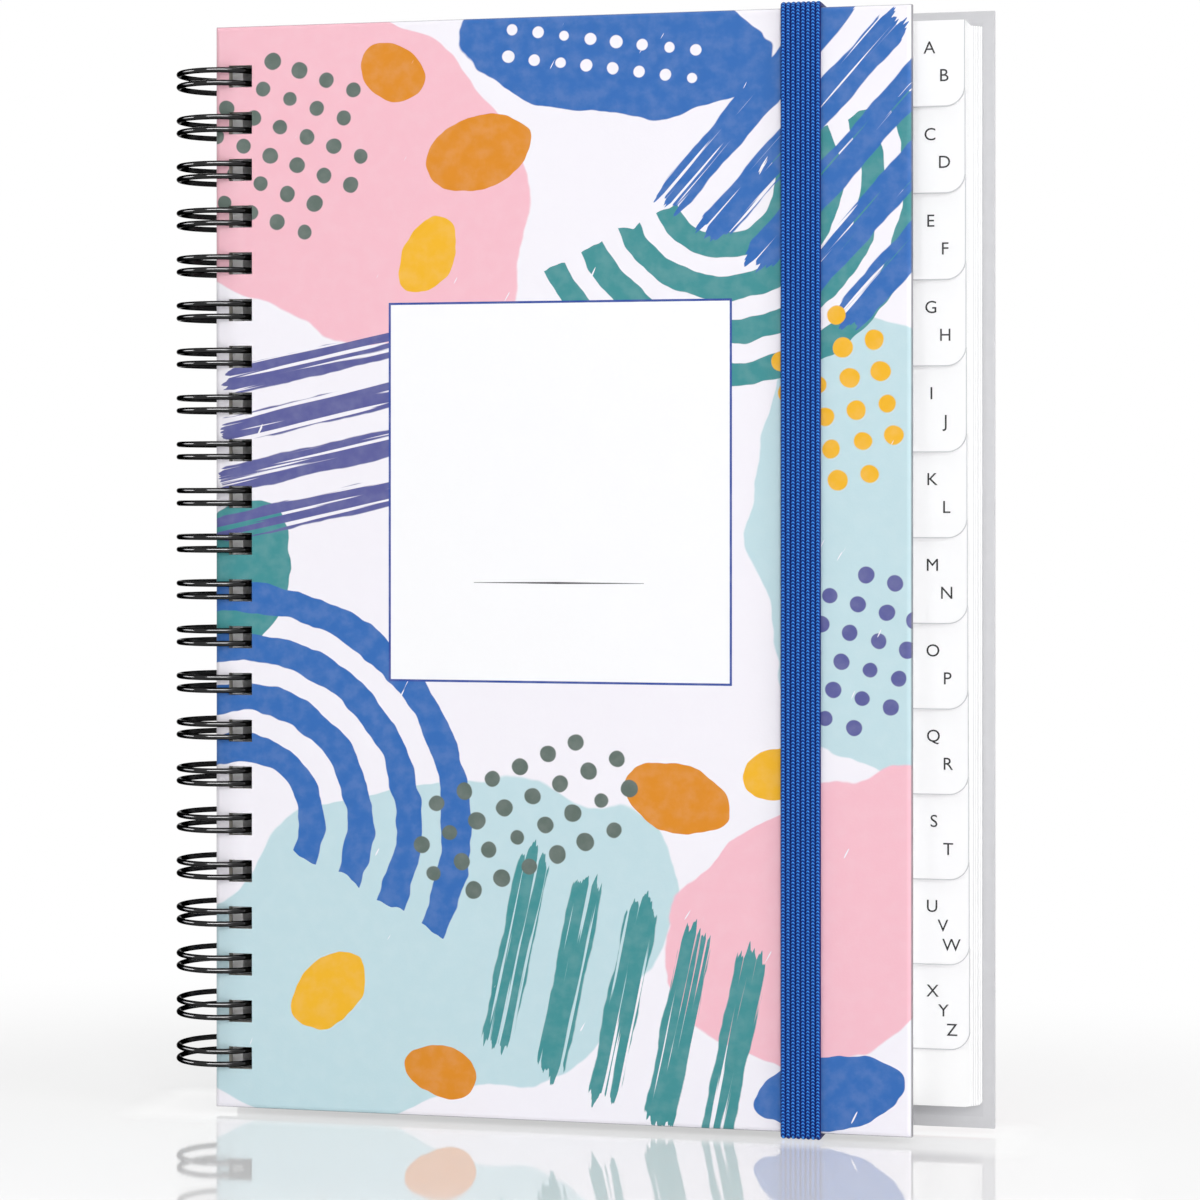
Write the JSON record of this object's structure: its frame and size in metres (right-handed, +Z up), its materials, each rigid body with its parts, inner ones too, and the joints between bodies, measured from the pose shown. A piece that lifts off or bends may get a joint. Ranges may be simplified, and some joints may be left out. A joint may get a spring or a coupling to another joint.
{
  "type": "address book",
  "caption": "Upright wire-bound hardcover address book with a step-cut alphabet index at the fore edge, narrower front cover and elastic closing band.",
  "frame": {"origin": "middle of the book's footprint, on the surface that it stands on", "axes": "+Z up along the spine, +X from the wire binding to the index tabs, +Y from the front cover to the back cover"},
  "size_m": [0.1496, 0.0179, 0.198],
  "materials": {
    "cover_print": "printed paper with a smooth laminate",
    "grey_board": "uncoated grey board",
    "liner_paper": "uncoated pale grey paper",
    "index_card": "smooth white card",
    "leaf_paper": "uncoated white paper",
    "wire": "glossy black coated steel wire",
    "elastic": "ribbed woven elastic"
  },
  "bodies": {
    "back_cover": {"back_wrap": "cover_print", "back_board": "grey_board", "back_liner": "liner_paper", "binding_wire": "wire", "elastic_top_run": "elastic", "elastic_bottom_run": "elastic", "elastic_top_tail": "elastic", "elastic_bottom_tail": "elastic"},
    "front_cover": {"front_wrap": "cover_print", "front_board": "grey_board", "front_liner": "liner_paper"},
    "section_ab": {"index_ab": "index_card", "leaves_ab": "leaf_paper"},
    "section_cd": {"index_cd": "index_card", "leaves_cd": "leaf_paper"},
    "section_ef": {"index_ef": "index_card", "leaves_ef": "leaf_paper"},
    "section_gh": {"index_gh": "index_card", "leaves_gh": "leaf_paper"},
    "section_ij": {"index_ij": "index_card", "leaves_ij": "leaf_paper"},
    "section_kl": {"index_kl": "index_card", "leaves_kl": "leaf_paper"},
    "section_mn": {"index_mn": "index_card", "leaves_mn": "leaf_paper"},
    "section_op": {"index_op": "index_card", "leaves_op": "leaf_paper"},
    "section_qr": {"index_qr": "index_card", "leaves_qr": "leaf_paper"},
    "section_st": {"index_st": "index_card", "leaves_st": "leaf_paper"},
    "section_uvw": {"index_uvw": "index_card", "leaves_uvw": "leaf_paper"},
    "section_xyz": {"index_xyz": "index_card", "leaves_xyz": "leaf_paper"},
    "band": {"elastic_front_run": "elastic"}
  },
  "joints": [
    {"name": "section_xyz_turn", "type": "hinge", "parent": "back_cover", "child": "section_xyz", "pos_m": [-0.06584, 0, 0.099], "axis": [0, 0, -1], "range_deg": [0, 180]},
    {"name": "section_uvw_turn", "type": "hinge", "parent": "section_xyz", "child": "section_uvw", "pos_m": [-0.06584, 0, 0.099], "axis": [0, 0, -1], "range_deg": [0, 180]},
    {"name": "section_st_turn", "type": "hinge", "parent": "section_uvw", "child": "section_st", "pos_m": [-0.06584, 0, 0.099], "axis": [0, 0, -1], "range_deg": [0, 180]},
    {"name": "section_qr_turn", "type": "hinge", "parent": "section_st", "child": "section_qr", "pos_m": [-0.06584, 0, 0.099], "axis": [0, 0, -1], "range_deg": [0, 180]},
    {"name": "section_op_turn", "type": "hinge", "parent": "section_qr", "child": "section_op", "pos_m": [-0.06584, 0, 0.099], "axis": [0, 0, -1], "range_deg": [0, 180]},
    {"name": "section_mn_turn", "type": "hinge", "parent": "section_op", "child": "section_mn", "pos_m": [-0.06584, 0, 0.099], "axis": [0, 0, -1], "range_deg": [0, 180]},
    {"name": "section_kl_turn", "type": "hinge", "parent": "section_mn", "child": "section_kl", "pos_m": [-0.06584, 0, 0.099], "axis": [0, 0, -1], "range_deg": [0, 180]},
    {"name": "section_ij_turn", "type": "hinge", "parent": "section_kl", "child": "section_ij", "pos_m": [-0.06584, 0, 0.099], "axis": [0, 0, -1], "range_deg": [0, 180]},
    {"name": "section_gh_turn", "type": "hinge", "parent": "section_ij", "child": "section_gh", "pos_m": [-0.06584, 0, 0.099], "axis": [0, 0, -1], "range_deg": [0, 180]},
    {"name": "section_ef_turn", "type": "hinge", "parent": "section_gh", "child": "section_ef", "pos_m": [-0.06584, 0, 0.099], "axis": [0, 0, -1], "range_deg": [0, 180]},
    {"name": "section_cd_turn", "type": "hinge", "parent": "section_ef", "child": "section_cd", "pos_m": [-0.06584, 0, 0.099], "axis": [0, 0, -1], "range_deg": [0, 180]},
    {"name": "section_ab_turn", "type": "hinge", "parent": "section_cd", "child": "section_ab", "pos_m": [-0.06584, 0, 0.099], "axis": [0, 0, -1], "range_deg": [0, 180]},
    {"name": "front_cover_turn", "type": "hinge", "parent": "section_ab", "child": "front_cover", "pos_m": [-0.06584, 0, 0.099], "axis": [0, 0, -1], "range_deg": [0, 180]},
    {"name": "band_flip", "type": "hinge", "parent": "back_cover", "child": "band", "pos_m": [0.04246, 0.0005, 0.099], "axis": [0, 0, 1], "range_deg": [0, 180], "deforming": ["elastic_front_run"]}
  ]
}
